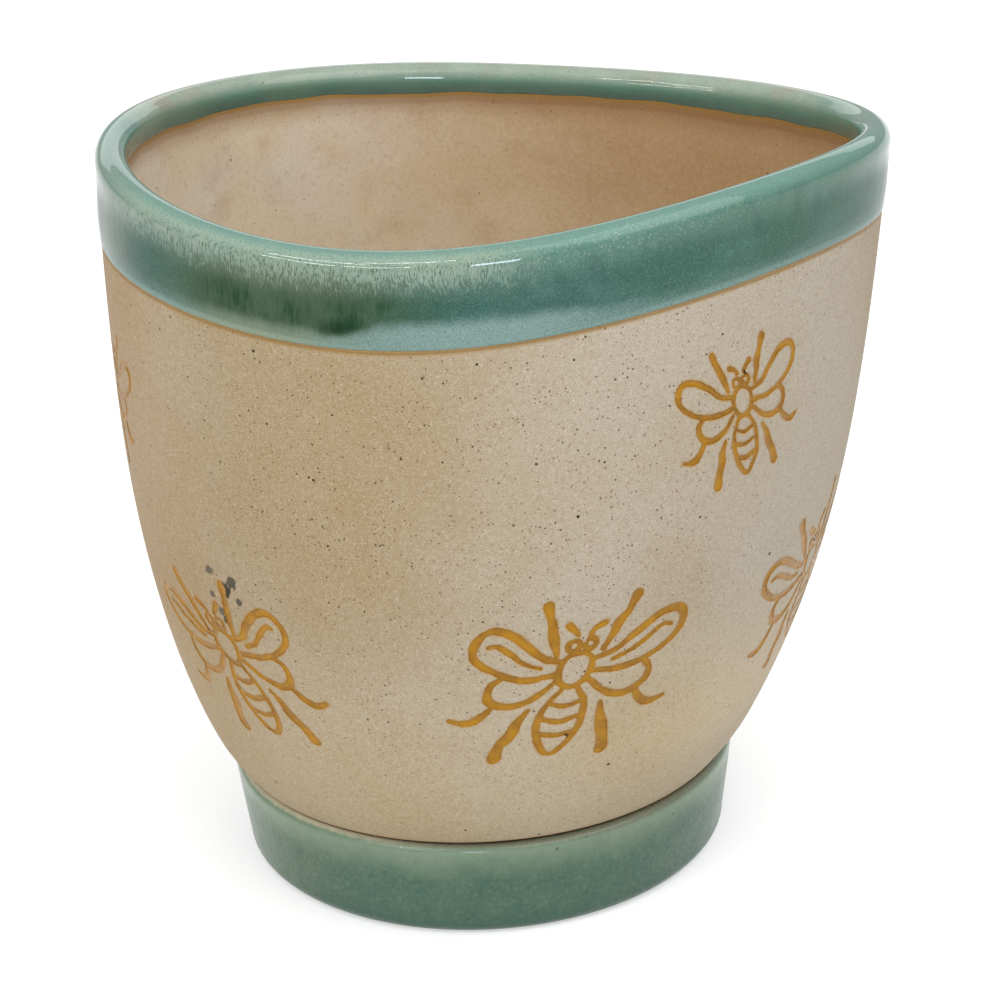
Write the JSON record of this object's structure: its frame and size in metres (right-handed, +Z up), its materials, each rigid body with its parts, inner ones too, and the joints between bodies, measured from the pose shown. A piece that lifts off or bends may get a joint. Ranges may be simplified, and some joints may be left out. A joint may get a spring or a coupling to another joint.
{
  "type": "ceramic planter",
  "caption": "Stoneware plant pot with a pulled, rounded three-cornered mouth, glazed rim and stamped bees, lifting out of a round glazed saucer.",
  "frame": {"origin": "centre of the saucer's flat underside, on the axis of the saucer and the pot's foot", "axes": "+Z up, front of the planter towards -Y, long side of the mouth pushed over towards +X"},
  "size_m": [0.1997, 0.1737, 0.197],
  "materials": {
    "speckled_clay": "bare satin-matt stoneware with iron specks",
    "rim_glaze": "glossy running green glaze",
    "saucer_glaze": "satin mottled green glaze",
    "amber_glaze": "glossy amber glaze in stamped lines"
  },
  "bodies": {
    "saucer": {"saucer": "saucer_glaze"},
    "pot": {"pot": "speckled_clay", "rim_glaze": "rim_glaze"}
  },
  "joints": [
    {"name": "pot_lift", "type": "slide", "parent": "saucer", "child": "pot", "axis": [0, 0, 1], "range_m": [0, 0.06]}
  ]
}
